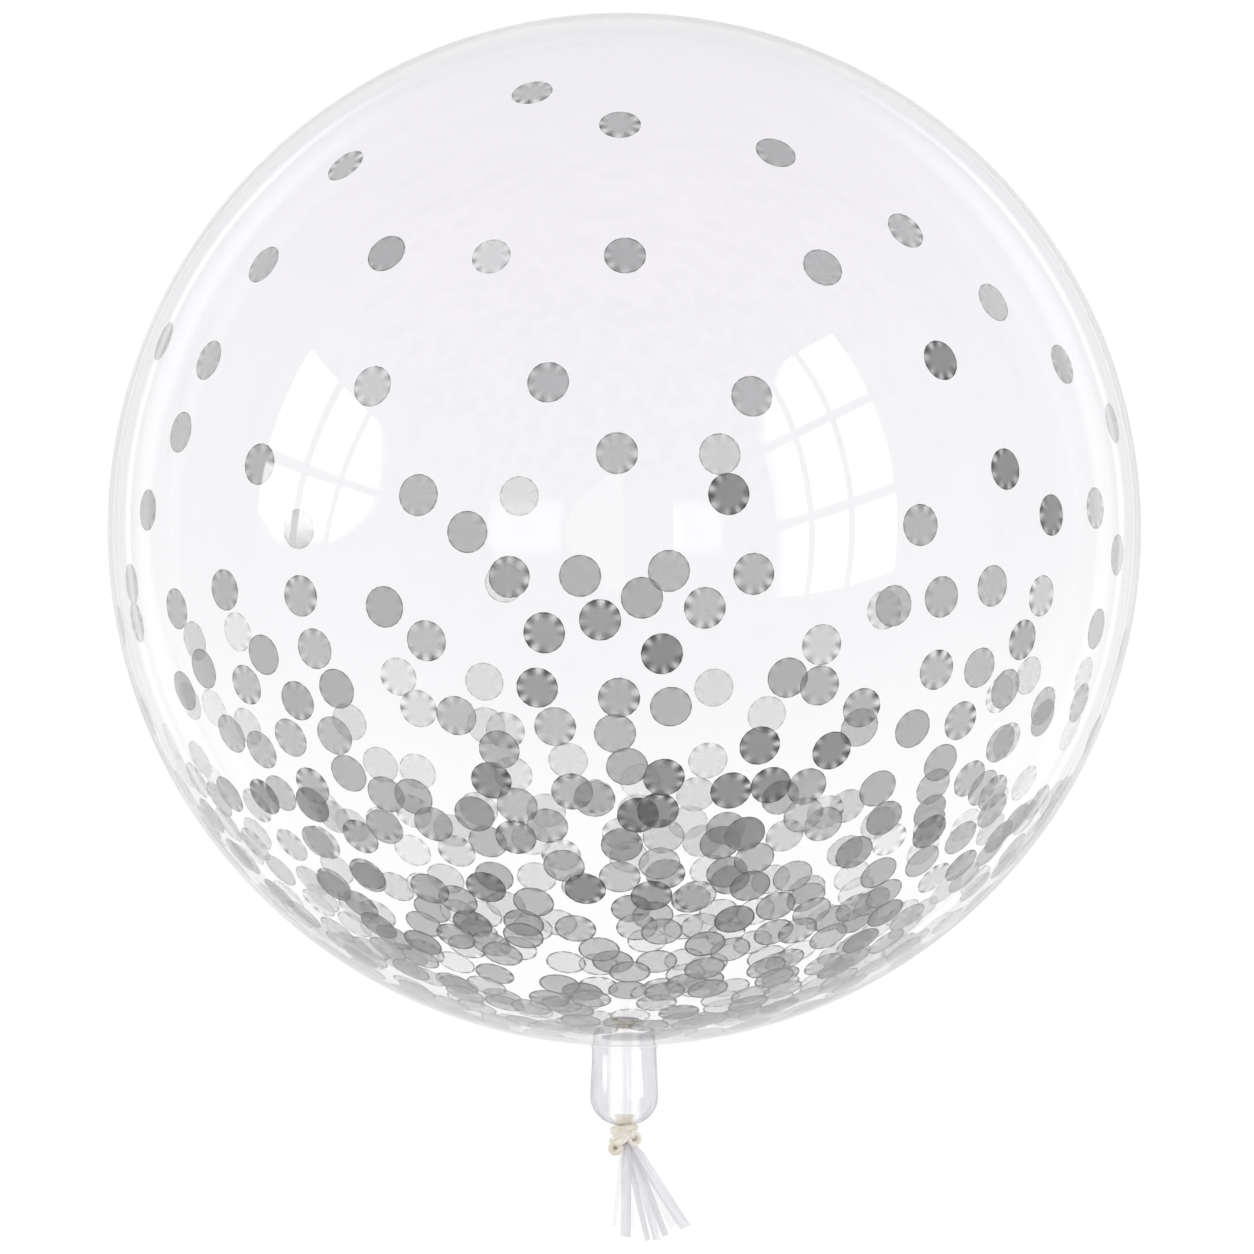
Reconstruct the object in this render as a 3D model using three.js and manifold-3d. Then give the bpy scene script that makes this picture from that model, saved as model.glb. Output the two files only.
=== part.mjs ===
// Clear bubble balloon, filled, tied off and lying on its side.
//
// Millimetres, +Z up. The ball rests on a small flat spot, whose centre is the origin. The neck leaves the
// ball along -Y at the height of the ball's centre, and ends in a rubber band knot and a tassel of film
// strips. "Along" is always a distance along -Y, measured from the ball's centre.

import * as THREE from "three";
import { mergeVertices } from "three/addons/utils/BufferGeometryUtils.js";
import Module from "manifold-3d";

const wasm = await Module();
wasm.setup();

// Ball
const BALL_DIAMETER = 500;
const REST_SPOT_DIAMETER = 60; // where the film flattens on the floor

// Neck, a clear tube that swells a little and closes in a round end on the tie
const NECK_DIAMETER = 31.8;
const NECK_BELLY_DIAMETER = 33.4;
const NECK_WALL_LENGTH = 24.9; // from the ball to the widest part
const NECK_CLOSING_LENGTH = 13.6; // from the widest part to the tie
const NECK_FILLET = 2; // where the neck meets the ball
const THROAT_DIAMETER = 6.4; // the gathered film inside the knot
const THROAT_LENGTH = 6.5;

// Rubber band
const BAND_DIAMETER = 3.4;
const BAND_LOOP_DIAMETER = 2.8; // the thinner strand of the loose loop
const CLEARANCE = 0.3; // kept between any two pieces
const MOUTH_LENGTH = 13.6; // the knot's flared mouth, from its end inwards
const MOUTH_FLARE = 1.5; // the width of the mouth at its end, in bores

// Tassel
const STRIP_WIDTH = 4.9;
const STRIP_ROOT_WIDTH = 2; // crumpled narrow inside the knot
const STRIP_THICKNESS = 0.35;
const STRIP_BEND_LENGTH = 6; // the stretch at the root in which it turns to its own direction
const STRIP_FLARE_END = 16; // along the strip, where it has its full width
const STRIP_SAG = 4; // how far the free end droops
const STRIP_LIFT_DEG = 7; // slope of the top strip, and of the bottom one downwards
const TASSEL_OFFSET = 1.8; // the bundle leaves the knot to the right of the neck's axis

// The knot's pieces. Turn is the angle round the throat in degrees, from +X up towards +Z. Down is the
// distance from the tie in band diameters, and out is the distance from the axis in wrap radii. Tip and
// lean are degrees, and ring is the radius of an eye's ring.
const WRAPS = [
  { down: 0.6, tip: 4 },
  { down: 1.45, tip: -7 },
];
const EYES = [
  { turn: 44, down: 2.25, out: 1.12, ring: 1.768, thickness: BAND_DIAMETER, lean: 14 },
  { turn: 140, down: 3.35, out: 1.05, ring: 2.352, thickness: BAND_LOOP_DIAMETER, lean: -16 },
];
const STRANDS = [
  { steps: 9, through: [[34, 1.6, 1], [60, 1.95, 1.2], [96, 2.5, 1.24], [130, 2.75, 1]] },
  { steps: 10, through: [[108, 1.5, 0.9], [150, 2.15, 1.16], [200, 2.4, 1], [262, 2.2, 1]] },
  { steps: 10, through: [[150, 3.9, 1], [190, 3.4, 1], [236, 2.9, 1], [290, 2.6, 1]] },
  { steps: 12, through: [[250, 2.2, 1], [300, 2.6, 1], [350, 2.6, 1], [36, 2.7, 1]] },
];

// The strips from left to right. Fan is the angle from -Y towards +X, roll turns the strip about its own
// length by the free end, and layer is its place in the bundle, counted down from the top.
const STRIPS = [
  { fan: -8.5, length: 43.5, roll: -72, layer: 7 },
  { fan: -0.4, length: 48, roll: 4, layer: 1 },
  { fan: 6, length: 44, roll: 25, layer: 6 },
  { fan: 12, length: 50.5, roll: 58, layer: 4 },
  { fan: 16.6, length: 50.5, roll: 42, layer: 2 },
  { fan: 22.8, length: 50, roll: -48, layer: 5 },
  { fan: 29, length: 47, roll: 30, layer: 3 },
  { fan: 34, length: 50, roll: -8, layer: 0 },
];

// Fineness of the round faces
const AROUND = 56;
const BALL_RINGS = 34;
const FILLET_RINGS = 3;
const WALL_RINGS = 4;
const CLOSING_RINGS = 6;
const STRAND_SIDES = 8;
const WRAP_STEPS = 26;
const EYE_STEPS = 14;
const BORE_SIDES = 20;
const STRIP_STEPS = 12;

// Derived sizes
const ballRadius = BALL_DIAMETER / 2;
const restRadius = REST_SPOT_DIAMETER / 2;
const ballHeight = Math.sqrt(ballRadius ** 2 - restRadius ** 2);
const neckRadius = NECK_DIAMETER / 2;
const bellyRadius = NECK_BELLY_DIAMETER / 2;
const throatRadius = THROAT_DIAMETER / 2;
const bellyAlong = ballRadius + NECK_WALL_LENGTH;
const tieAlong = bellyAlong + NECK_CLOSING_LENGTH;
const throatEnd = tieAlong + THROAT_LENGTH;
const boreRadius = throatRadius + CLEARANCE;
const wrapRadius = boreRadius + BAND_DIAMETER / 2;
const layerPitch = STRIP_THICKNESS + CLEARANCE;
const middleLayer = (STRIPS.length - 1) / 2;

const film = new THREE.MeshStandardMaterial({
  color: 0xe6e3ee,
  roughness: 0.05,
  metalness: 0,
  transparent: true,
  opacity: 0.35,
});
const rubber = new THREE.MeshStandardMaterial({
  color: 0xebe3c8,
  roughness: 0.35,
  metalness: 0,
});
const ribbon = new THREE.MeshStandardMaterial({
  color: 0xe2dfea,
  roughness: 0.2,
  metalness: 0,
  transparent: true,
  opacity: 0.6,
});

// A three.js geometry as a manifold-3d solid.
function solidOf(geometry) {
  const bare = geometry.index ? geometry.toNonIndexed() : geometry.clone();
  bare.deleteAttribute("normal");
  bare.deleteAttribute("uv");
  const merged = mergeVertices(bare, 1e-3);
  return new wasm.Manifold(
    new wasm.Mesh({
      numProp: 3,
      vertProperties: new Float32Array(merged.attributes.position.array),
      triVerts: new Uint32Array(merged.index.array),
    }),
  );
}

// The pieces as one solid. Pockets shut in between them are filled.
function fused(pieces) {
  const whole = pieces.reduce((sum, piece) => sum.add(piece));
  return whole.decompose().find((shell) => shell.volume() > 0);
}

// A named mesh of a solid.
function meshOf(name, solid, material) {
  const made = solid.getMesh();
  const geometry = new THREE.BufferGeometry();
  geometry.setAttribute("position", new THREE.BufferAttribute(made.vertProperties, 3));
  geometry.setIndex(new THREE.BufferAttribute(made.triVerts, 1));
  geometry.computeVertexNormals();
  const mesh = new THREE.Mesh(geometry, material);
  mesh.name = name;
  return mesh;
}

// A geometry built round the ball's centre, raised to where the ball lies on the floor.
function raised(geometry) {
  return geometry.translate(0, 0, ballHeight);
}

// The sealed film: ball, neck and gathered throat in one turned profile.
function filmEnvelope() {
  const filletCentre = new THREE.Vector2(
    neckRadius + NECK_FILLET,
    Math.sqrt((ballRadius + NECK_FILLET) ** 2 - (neckRadius + NECK_FILLET) ** 2),
  );
  const joinAngle = Math.atan2(filletCentre.x, filletCentre.y);
  const profile = [];
  const point = (radius, along) => profile.push(new THREE.Vector2(radius, -along));

  for (let i = 0; i <= BALL_RINGS; i++) {
    const fromCrown = (Math.PI - joinAngle) * (i / BALL_RINGS);
    point(ballRadius * Math.sin(fromCrown), -ballRadius * Math.cos(fromCrown));
  }
  profile[0].x = 0;
  for (let i = 1; i <= FILLET_RINGS; i++) {
    const turn = Math.PI / 2 + joinAngle + (Math.PI / 2 - joinAngle) * (i / FILLET_RINGS);
    const across = filletCentre.x + NECK_FILLET * Math.cos(turn);
    point(across, filletCentre.y - NECK_FILLET * Math.sin(turn));
  }
  for (let i = 1; i <= WALL_RINGS; i++) {
    const t = i / WALL_RINGS;
    const swell = Math.sin((Math.PI / 2) * t) ** 2;
    const radius = THREE.MathUtils.lerp(neckRadius, bellyRadius, swell);
    point(radius, THREE.MathUtils.lerp(filletCentre.y, bellyAlong, t));
  }
  const closingEnd = Math.acos(throatRadius / bellyRadius);
  for (let i = 1; i <= CLOSING_RINGS; i++) {
    const turn = closingEnd * (i / CLOSING_RINGS);
    const along = bellyAlong + (NECK_CLOSING_LENGTH * Math.sin(turn)) / Math.sin(closingEnd);
    point(bellyRadius * Math.cos(turn), along);
  }
  point(throatRadius, throatEnd);
  point(0, throatEnd);

  const turned = solidOf(raised(new THREE.LatheGeometry(profile.reverse(), AROUND)));
  const below = new THREE.BoxGeometry(2 * BALL_DIAMETER, 2 * BALL_DIAMETER, BALL_DIAMETER);
  return turned.subtract(solidOf(below.translate(0, 0, -BALL_DIAMETER / 2)));
}

// A point of the knot, in the terms of the knot's pieces above.
function knotPoint(turn, down, out) {
  const angle = THREE.MathUtils.degToRad(turn);
  return new THREE.Vector3(
    wrapRadius * out * Math.cos(angle),
    -(tieAlong + down * BAND_DIAMETER),
    wrapRadius * out * Math.sin(angle),
  );
}

// A strand of the band along a smooth curve through some knot points.
function strand({ steps, through }) {
  const section = new THREE.Shape();
  section.absarc(0, 0, BAND_DIAMETER / 2, 0, 2 * Math.PI);
  return solidOf(
    new THREE.ExtrudeGeometry(section, {
      steps,
      curveSegments: STRAND_SIDES / 2,
      extrudePath: new THREE.CatmullRomCurve3(through.map((place) => knotPoint(...place))),
    }),
  );
}

// A closed turn of the band round the throat, tipped a little to one side.
function wrap({ down, tip }) {
  const ring = new THREE.TorusGeometry(wrapRadius, BAND_DIAMETER / 2, STRAND_SIDES, WRAP_STEPS);
  ring.rotateX(Math.PI / 2);
  ring.rotateZ(THREE.MathUtils.degToRad(tip));
  const centre = knotPoint(0, down, 0);
  return solidOf(ring.translate(centre.x, centre.y, centre.z));
}

// A small eye of the band that lies flat against the knot and faces up and outwards.
function eye({ turn, down, out, ring, thickness, lean }) {
  const loop = new THREE.TorusGeometry(ring, thickness / 2, STRAND_SIDES, EYE_STEPS);
  loop.rotateY(THREE.MathUtils.degToRad(lean));
  const centre = knotPoint(turn, down, out);
  return solidOf(loop.translate(centre.x, centre.y, centre.z));
}

// The rubber band: two turns round the throat, an eye on each side, and the strands that cross between.
// The gathered film runs through its bore, and the tassel leaves by its flared mouth.
function rubberBandKnot() {
  const band = fused([...WRAPS.map(wrap), ...EYES.map(eye), ...STRANDS.map(strand)]);
  const boreLength = 2 * (throatEnd + CLEARANCE);
  const bore = new THREE.CylinderGeometry(boreRadius, boreRadius, boreLength, BORE_SIDES);
  const mouth = new THREE.CylinderGeometry(boreRadius, boreRadius * MOUTH_FLARE, MOUTH_LENGTH, BORE_SIDES);
  mouth.translate(0, -MOUTH_LENGTH / 2, 0);
  mouth.rotateZ(Math.atan2(TASSEL_OFFSET, STRIP_BEND_LENGTH));
  mouth.translate(0, -throatEnd, 0);
  return band.subtract(solidOf(bore)).subtract(solidOf(mouth));
}

// One strip of the tassel: a flat bar, bent so that it leaves the throat narrow and flat in its layer, and
// then fans out, widens, rolls and droops towards its free end.
function tasselStrip({ fan, length, roll, layer }) {
  const bar = new THREE.BoxGeometry(1, length, STRIP_THICKNESS, 1, STRIP_STEPS, 1);
  const slope = Math.tan(THREE.MathUtils.degToRad(STRIP_LIFT_DEG * (1 - layer / middleLayer)));
  const fanned = THREE.MathUtils.degToRad(fan);
  const start = new THREE.Vector3(0, -(throatEnd + CLEARANCE), (middleLayer - layer) * layerPitch);
  const positions = bar.attributes.position;
  for (let i = 0; i < positions.count; i++) {
    const run = length / 2 - positions.getY(i);
    const bent = Math.min(run / STRIP_BEND_LENGTH, 1);
    const past = run - STRIP_BEND_LENGTH * bent * (1 - bent / 2);
    const flare = THREE.MathUtils.smoothstep(run, STRIP_BEND_LENGTH, STRIP_FLARE_END);
    const turned = THREE.MathUtils.smoothstep(run, STRIP_FLARE_END, length);
    const width = THREE.MathUtils.lerp(STRIP_ROOT_WIDTH, STRIP_WIDTH, flare);
    const side = positions.getX(i) * width;
    const up = positions.getZ(i);
    const rolled = THREE.MathUtils.degToRad(roll) * turned;
    const across = side * Math.cos(rolled) - up * Math.sin(rolled);
    const heading = fanned * bent;
    const at = start.clone();
    at.x += past * Math.sin(fanned) + across * Math.cos(heading);
    at.x += TASSEL_OFFSET * THREE.MathUtils.smoothstep(run, 0, 2 * STRIP_BEND_LENGTH);
    at.y += past * (1 - Math.cos(fanned)) - run + across * Math.sin(heading);
    at.z += side * Math.sin(rolled) + up * Math.cos(rolled);
    at.z += slope * past - STRIP_SAG * (run / length) ** 2;
    positions.setXYZ(i, at.x, at.y, at.z);
  }
  return solidOf(raised(bar));
}

const balloon = new THREE.Group();
balloon.add(meshOf("film_envelope", filmEnvelope(), film));

const knot = meshOf("rubber_band_knot", rubberBandKnot(), rubber);
knot.position.z = ballHeight;
balloon.add(knot);

STRIPS.forEach((strip, i) => balloon.add(meshOf(`tassel_strip_${i + 1}`, tasselStrip(strip), ribbon)));

export default balloon;
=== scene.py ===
# %% [markdown]
# # A clear bubble balloon
#
# The object is a ball of clear stretched film, half a metre across, with silver foil discs inside that
# cling to its wall. Its neck is a short clear tube, tied off with a rubber band, and behind the knot the
# film ends in a tassel of narrow strips. The balloon lies on the floor on a small flat spot and is seen
# straight from above.
#
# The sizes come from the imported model, which fixes where each piece goes. This script gives the pieces
# their real thin walls, their loose contents and their finishes.

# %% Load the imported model
import math
import random

import bmesh
import bpy
import numpy as np
from mathutils import Matrix, Vector


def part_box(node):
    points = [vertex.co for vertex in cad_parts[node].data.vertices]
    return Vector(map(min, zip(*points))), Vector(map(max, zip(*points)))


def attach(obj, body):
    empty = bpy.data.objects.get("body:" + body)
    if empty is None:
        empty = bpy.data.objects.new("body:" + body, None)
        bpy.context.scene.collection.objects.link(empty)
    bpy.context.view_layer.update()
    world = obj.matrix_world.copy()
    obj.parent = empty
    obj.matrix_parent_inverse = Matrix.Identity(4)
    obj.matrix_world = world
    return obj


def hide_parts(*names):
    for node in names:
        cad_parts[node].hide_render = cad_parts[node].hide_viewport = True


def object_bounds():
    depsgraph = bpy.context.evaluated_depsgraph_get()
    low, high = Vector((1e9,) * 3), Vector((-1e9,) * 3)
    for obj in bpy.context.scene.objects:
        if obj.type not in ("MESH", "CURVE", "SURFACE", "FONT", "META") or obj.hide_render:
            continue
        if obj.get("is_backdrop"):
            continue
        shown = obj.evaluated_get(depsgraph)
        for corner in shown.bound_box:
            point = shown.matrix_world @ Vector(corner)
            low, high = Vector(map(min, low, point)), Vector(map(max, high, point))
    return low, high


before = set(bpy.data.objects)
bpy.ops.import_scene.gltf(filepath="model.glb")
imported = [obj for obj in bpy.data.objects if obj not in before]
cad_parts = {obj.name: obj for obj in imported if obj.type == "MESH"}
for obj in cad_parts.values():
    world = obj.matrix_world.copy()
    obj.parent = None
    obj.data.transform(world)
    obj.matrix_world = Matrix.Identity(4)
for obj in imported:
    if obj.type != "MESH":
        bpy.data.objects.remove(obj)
cad_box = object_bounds()
MM = 0.001
print("nodes in the packed model:", sorted(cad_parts))

# %% [markdown]
# ## The sizes that every piece shares
#
# The ball rests on a flat spot, so its centre is a little lower than its radius. The neck leaves it along
# -Y at that height. Whatever belongs to the neck is placed by how far "along" -Y it is from the centre.

# %% Shared sizes
BALL_RADIUS = 250 * MM
REST_RADIUS = 30 * MM
NECK_RADIUS = 15.9 * MM
BELLY_RADIUS = 16.7 * MM
FILLET = 2 * MM
THROAT_RADIUS = 3.2 * MM
BELLY_ALONG = BALL_RADIUS + 24.9 * MM
TIE_ALONG = BELLY_ALONG + 13.6 * MM
THROAT_END = TIE_ALONG + 6.5 * MM
CENTRE = Vector((0, 0, math.sqrt(BALL_RADIUS**2 - REST_RADIUS**2)))

low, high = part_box("film_envelope")
print("ball centre height %.1f mm, packed film height %.1f mm" % (CENTRE.z / MM, high.z / MM))

# %% [markdown]
# ## Two helpers for working as by hand
#
# Blender's operators act on whatever is selected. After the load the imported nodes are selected, so each
# piece starts by deselecting everything. Inside edit mode the vertices, edges or faces that a step works
# on are picked by where they are or which way they face, as a modeller would click them.

# %% Helpers for selection
def deselect_all():
    """Leave edit mode and deselect every object."""
    if bpy.context.object and bpy.context.object.mode != "OBJECT":
        bpy.ops.object.mode_set(mode="OBJECT")
    bpy.ops.object.select_all(action="DESELECT")


def pick(*pieces):
    """Select these pieces alone and make the first one active."""
    deselect_all()
    for piece in pieces:
        piece.select_set(True)
    bpy.context.view_layer.objects.active = pieces[0]
    return pieces[0]


def choose(kind, test):
    """In edit mode, select the vertices, edges or faces for which the test holds, and nothing else."""
    bpy.ops.mesh.select_mode(type=kind)
    bpy.ops.mesh.select_all(action="DESELECT")
    shape = bpy.context.object.data
    mesh = bmesh.from_edit_mesh(shape)
    parts = {"VERT": mesh.verts, "EDGE": mesh.edges, "FACE": mesh.faces}[kind]
    chosen = [part for part in parts if test(part)]
    for part in chosen:
        part.select_set(True)
    mesh.select_flush_mode()
    bmesh.update_edit_mesh(shape)
    return len(chosen)


def edit(piece):
    """Open a piece in edit mode."""
    pick(piece)
    bpy.ops.object.mode_set(mode="EDIT")


def leave_edit():
    bpy.ops.object.mode_set(mode="OBJECT")


def modified(piece, kind, **settings):
    """Add a modifier to a piece and apply it at once."""
    pick(piece)
    modifier = piece.modifiers.new(kind.title(), kind)
    for name, value in settings.items():
        setattr(modifier, name, value)
    bpy.ops.object.modifier_apply(modifier=modifier.name)


def named(name):
    """Name the piece that was just added, and its mesh."""
    piece = bpy.context.object
    piece.name = name
    piece.data.name = name
    return piece


# %% [markdown]
# ## Shader maths as plain expressions
#
# A procedural finish is arithmetic on a position: waves, masks and mixtures. Wired by hand that is a wall
# of Math nodes. Here a `Signal` stands for the output of a node, and `+`, `-`, `*` and `/` on it add the
# Math nodes, so `1 - rim * waves` reads as what it does. A `Board` is the node tree of one finish, and all
# its other nodes come from its one method `node`.

# %% Signals and boards
class Signal:
    """The output socket of a node, which can be calculated with."""

    def __init__(self, board, socket):
        self.board = board
        self.socket = socket

    def maths(self, operation, *others):
        values = dict(enumerate((self,) + others))
        return self.board.node("ShaderNodeMath", {"operation": operation}, values)

    def __add__(self, other):
        return self.maths("ADD", other)

    def __mul__(self, other):
        return self.maths("MULTIPLY", other)

    def __sub__(self, other):
        return self.maths("SUBTRACT", other)

    def __truediv__(self, other):
        return self.maths("DIVIDE", other)

    def __rsub__(self, other):
        return self.board.node("ShaderNodeMath", {"operation": "SUBTRACT"}, {0: other, 1: self})

    __radd__ = __add__
    __rmul__ = __mul__


class Board:
    """The node tree of a finish."""

    def __init__(self, owner):
        owner.use_nodes = True
        self.tree = owner.node_tree

    def node(self, kind, settings=None, sockets=None, out=0):
        """Add a node, give it its settings and then its socket values or links."""
        made = self.tree.nodes.new(kind)
        for name, value in (settings or {}).items():
            if name == "stops":
                self.set_stops(made.color_ramp.elements, value)
            else:
                setattr(made, name, value)
        for name, value in (sockets or {}).items():
            self.feed(made.inputs[name], value)
        return Signal(self, made.outputs[out])

    def set_stops(self, elements, stops):
        """Set a ramp's stops, each a place and a grey or a colour."""
        while len(elements) < len(stops):
            elements.new(0.5)
        for element, (place, shade) in zip(elements, stops):
            element.position = place
            element.color = (shade,) * 3 + (1,) if isinstance(shade, (int, float)) else shade + (1,)

    def feed(self, socket, value):
        if isinstance(value, Signal):
            self.tree.links.new(value.socket, socket)
        elif isinstance(value, tuple) and len(value) == 3 and socket.type == "RGBA":
            socket.default_value = value + (1,)
        else:
            socket.default_value = value

    def finish(self, **values):
        """Set the sockets of the Principled shader. An underscore in a name stands for a space."""
        shader = next(n for n in self.tree.nodes if n.type == "BSDF_PRINCIPLED")
        for name, value in values.items():
            self.feed(shader.inputs[name.replace("_", " ")], value)

    def place(self, source="Object"):
        """The position on the piece, in its own coordinates."""
        return self.node("ShaderNodeTexCoord", out=source)

    def parts(self, vector):
        """The x, y and z of a vector as three signals."""
        x = self.node("ShaderNodeSeparateXYZ", sockets={0: vector})
        split = x.socket.node
        return x, Signal(self, split.outputs[1]), Signal(self, split.outputs[2])

    def noise(self, vector, scale, detail=2.0, roughness=0.5):
        sockets = {"Vector": vector, "Scale": scale, "Detail": detail, "Roughness": roughness}
        return self.node("ShaderNodeTexNoise", sockets=sockets)

    def ramp(self, value, stops):
        return self.node("ShaderNodeValToRGB", {"stops": stops}, {0: value})

    def step(self, value, start, end, low=0.0, high=1.0):
        """A smooth step from low to high as the value goes from start to end."""
        sockets = {0: value, 1: start, 2: end, 3: low, 4: high}
        return self.node("ShaderNodeMapRange", {"interpolation_type": "SMOOTHSTEP"}, sockets)

    def mixed(self, factor, first, second):
        """A colour between two colours."""
        return self.node("ShaderNodeMix", {"data_type": "RGBA"}, {0: factor, 6: first, 7: second}, out=2)

    def bump(self, height, distance, strength=1.0):
        sockets = {"Strength": strength, "Distance": distance, "Height": height}
        return self.node("ShaderNodeBump", sockets=sockets)


def new_finish(name):
    """A new material and the board it is wired on."""
    material = bpy.data.materials.new(name)
    return material, Board(material)


def dress(piece, material):
    """Give a piece its only finish, and hang it under the root body."""
    piece.data.materials.clear()
    piece.data.materials.append(material)
    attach(piece, "root")


# %% [markdown]
# ## The camera
#
# The photograph was taken from straight above with a long lens, so the ball's outline is a true circle and
# the neck shows no foreshortening. A camera at zero rotation looks down -Z with +Y up in the picture,
# which is that view. The lens follows from the width that the frame takes in at the ball's centre.

# %% Camera
CAMERA_DISTANCE = 8.0
FRAME_WIDTH = 607 * MM
FRAME_CENTRE_X = 1.3 * MM
FRAME_CENTRE_Y = -47.2 * MM

deselect_all()
eye = Vector((FRAME_CENTRE_X, FRAME_CENTRE_Y, CENTRE.z + CAMERA_DISTANCE))
bpy.ops.object.camera_add(location=eye, rotation=(0, 0, 0))
camera = bpy.context.object
camera.data.sensor_width = 36
camera.data.lens = camera.data.sensor_width * CAMERA_DISTANCE / FRAME_WIDTH
camera.data.clip_end = 100
bpy.context.scene.camera = camera
print("lens %.0f mm" % camera.data.lens)

# %% [markdown]
# ## The floor and an even white sky
#
# Clear film shows nothing of its own but a faint tint, so almost all that the camera sees is the white
# floor behind it and what its two walls mirror. The floor and the sky are therefore white and even, and
# every shape in the picture is there on purpose.
#
# The outer wall of the ball mirrors the lower half of the room near its outline: the closer to the edge,
# the steeper downwards it looks. In a real room those are dark and bright stripes of furniture and light
# stands, and they draw the fine lines inside the ball's outline. Here the sky below the horizon has those
# stripes, strongest to the left and right, and the floor isn't seen by sharp reflections. Light is looked
# for by following each surface's own scatter, not by aiming at the sky, because the sky is the same all
# over: that leaves the floor free of grain.

# %% Floor and sky
SKY_LIGHT = 1.1
FLOOR_WHITE = 0.93

deselect_all()
bpy.ops.mesh.primitive_plane_add(size=60)
floor = named("floor")
floor_paint, board = new_finish("floor_paint")
mottle = board.noise(board.place(), 3.0)
board.finish(Base_Color=board.mixed(mottle, (FLOOR_WHITE,) * 3, (FLOOR_WHITE - 0.01,) * 3), Roughness=0.9)
board.finish(Specular_IOR_Level=0.0)
floor.data.materials.append(floor_paint)
floor.visible_glossy = False
floor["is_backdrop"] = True

sky = bpy.data.worlds.new("sky")
bpy.context.scene.world = sky
board = Board(sky)
direction = board.place("Generated")
across, along_y, up = board.parts(direction)
below = up + 1.0
sideways = across * across / (across * across + along_y * along_y + 0.0001)
wander = board.noise(direction, 2.2, detail=3.0) - 0.5
fine = below + wander * 0.07
striped = board.ramp(
    fine,
    [(0.0, 0.46), (0.03, 0.5), (0.045, 0.41), (0.06, 0.54), (0.075, 0.43), (0.1, 0.46), (0.115, 0.39)]
    + [(0.14, 0.44), (0.16, 0.78), (0.175, 0.78), (0.19, 0.44), (0.215, 0.46), (0.24, 0.6)]
    + [(0.3, 0.76), (0.33, 0.72), (0.37, 0.5), (0.43, 0.54), (0.5, 0.64), (0.56, 0.52), (0.8, 0.55)],
)
plain = board.ramp(
    fine, [(0.0, 0.48), (0.05, 0.43), (0.08, 0.5), (0.12, 0.43), (0.17, 0.4), (0.3, 0.46), (0.8, 0.55)]
)
side_share = board.step(sideways, 0.05, 0.6)
shade = board.mixed(side_share, plain, striped)
background = next(n for n in sky.node_tree.nodes if n.type == "BACKGROUND")
board.feed(background.inputs["Color"], shade)
board.feed(background.inputs["Strength"], SKY_LIGHT / 0.55)
sky.cycles.sampling_method = "NONE"

# %% [markdown]
# ## The windows in the ball
#
# The upper left and right of the ball mirror two windows with glazing bars, and its middle two soft overhead
# lights. The mirror law gives their places: a spot on the ball that faces half way between the camera and a
# pane shows that pane. Each window is one glowing panel, far off, whose nodes draw the panes and the bars
# and let one side fade, as a window does that is half hidden by a curtain. Lamps could do it too, but a
# lamp has hard edges and would also light the floor and the foil. The panels are left out of everything
# but sharp reflections, and since a ray that has passed through the film no longer counts as one, only the
# outer face of the ball shows them.

# %% Window panels
WINDOW_DISTANCE = 12.0
PANE_LIGHT = 10.0
BAR_LIGHT = 1.0


def glowing_panel(name, middle, column, row, columns, rows):
    """A flat panel of columns by rows. Middle, column and row are in units of the window's distance."""
    deselect_all()
    bpy.ops.mesh.primitive_plane_add(size=1)
    panel = named(name)
    x_side, y_side = column * columns * WINDOW_DISTANCE, row * rows * WINDOW_DISTANCE
    turn = Matrix((x_side, y_side, x_side.cross(y_side).normalized())).transposed().to_4x4()
    panel.data.transform(Matrix.Translation(CENTRE + WINDOW_DISTANCE * middle) @ turn)
    panel.visible_camera = False
    panel.visible_diffuse = False
    panel.visible_transmission = False
    panel.visible_shadow = False
    panel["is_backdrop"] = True
    glow, board = new_finish(name + "_glow")
    glow.cycles.emission_sampling = "NONE"
    panel.data.materials.append(glow)
    u, v, _ = board.parts(board.place("UV"))
    board.finish(Base_Color=(0.0, 0.0, 0.0), Specular_IOR_Level=0.0, Emission_Color=(1.0, 1.0, 1.0))
    return board, u, v


def away_from_bars(board, place, width, blur=0.05):
    """1 inside a pane and 0 on a bar, for a place counted in panes."""
    from_bar = 0.5 - (place.maths("FRACT") - 0.5).maths("ABSOLUTE")
    return board.step(from_bar, width / 2, width / 2 + blur)


def shine(board, panes, shown, light):
    """Let panes glow and bars stay dull, and fade the whole to the sky's own light where it isn't shown."""
    glow = BAR_LIGHT + (light - BAR_LIGHT) * panes
    board.finish(Emission_Strength=SKY_LIGHT + (glow - SKY_LIGHT) * shown)


board, u, v = glowing_panel(
    "window_right", Vector((0.68, 0.21, 0.68)), Vector((0.103, 0.048, -0.16)),
    Vector((0.046, -0.297, 0.0)), 3, 3,
)
row_place = v * 3.0
from_middle_row = v * 3.0 - 1.5
arch = from_middle_row * from_middle_row
column_place = u * 3.0 + arch * 0.076 + 0.03
bar_place = u * 3.45 + arch * 0.12 - 0.275
panes = away_from_bars(board, bar_place.maths("MINIMUM", 2.6), 0.12) * away_from_bars(board, row_place, 0.08)
right_edge = board.step(column_place, 2.95, 3.0, 1.0, 0.0)
curtain = board.step(column_place, 0.1, 1.3)
top_left = board.step(row_place + column_place * 0.5, 0.75, 1.1)
top_left = top_left * board.step(row_place + column_place * 0.05, 3.0, 3.05, 1.0, 0.0)
shine(board, panes, right_edge * curtain * top_left, PANE_LIGHT)

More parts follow.
